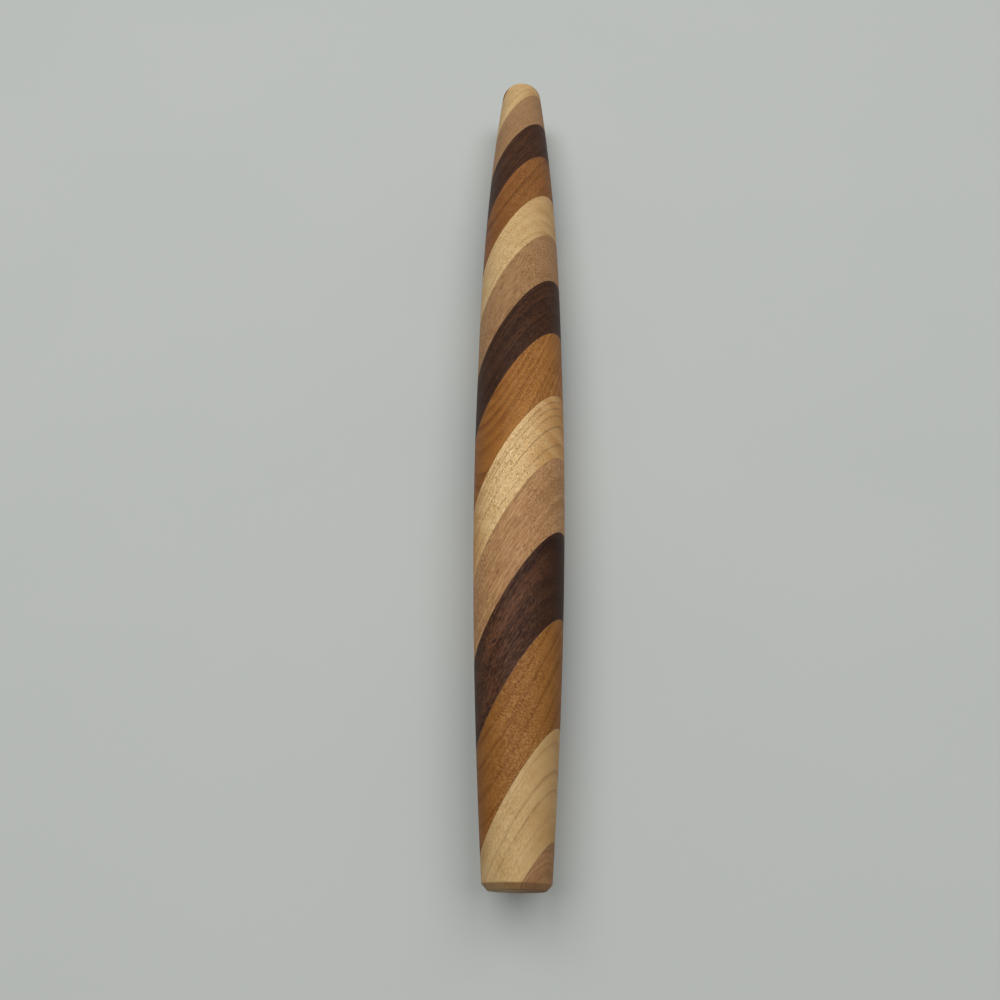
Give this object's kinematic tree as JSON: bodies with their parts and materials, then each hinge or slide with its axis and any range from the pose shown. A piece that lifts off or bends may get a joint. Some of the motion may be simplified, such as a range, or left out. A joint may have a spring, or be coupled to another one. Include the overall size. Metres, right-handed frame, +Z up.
{
  "type": "french rolling pin",
  "caption": "Tapered French rolling pin without handles, turned from slanting glued boards of beech, maple, cherry and walnut.",
  "frame": {"origin": "on the pin's axis at mid length; the lowest point of the belly is 23 mm below it", "axes": "+X along the axis, from the end nearest the camera in the picture (a beech wedge at its right corner) to the far end; +Z up; -Y is the right-hand side of the picture. The slanting seams climb towards +X on the -Y side, 16 degrees above it"},
  "size_m": [0.508, 0.046, 0.046],
  "materials": {
    "beech": "Flat-sawn beech, pinkish tan with fine dark flecks, sanded and oiled to a low satin",
    "maple": "Hard maple, pale golden with faint growth lines and small ray flecks, sanded and oiled to a low satin",
    "cherry": "Cherry, warm reddish brown with broad darker bands, sanded and oiled to a low satin",
    "walnut": "Black walnut, dark chocolate brown with lighter streaks and open pores, sanded and oiled to a low satin",
    "glue": "Cured wood glue in hairline seams, darkened by oil, flush with the turned surface"
  },
  "bodies": {
    "root": {"board_01_beech": "beech", "board_02_maple": "maple", "board_03_cherry": "cherry", "board_04_walnut": "walnut", "board_05_beech": "beech", "board_06_maple": "maple", "board_07_cherry": "cherry", "board_08_walnut": "walnut", "board_09_beech": "beech", "board_10_maple": "maple", "board_11_cherry": "cherry", "board_12_walnut": "walnut", "board_13_beech": "beech", "board_14_maple": "maple", "board_15_cherry": "cherry", "glue_lines": "glue"}
  },
  "joints": []
}
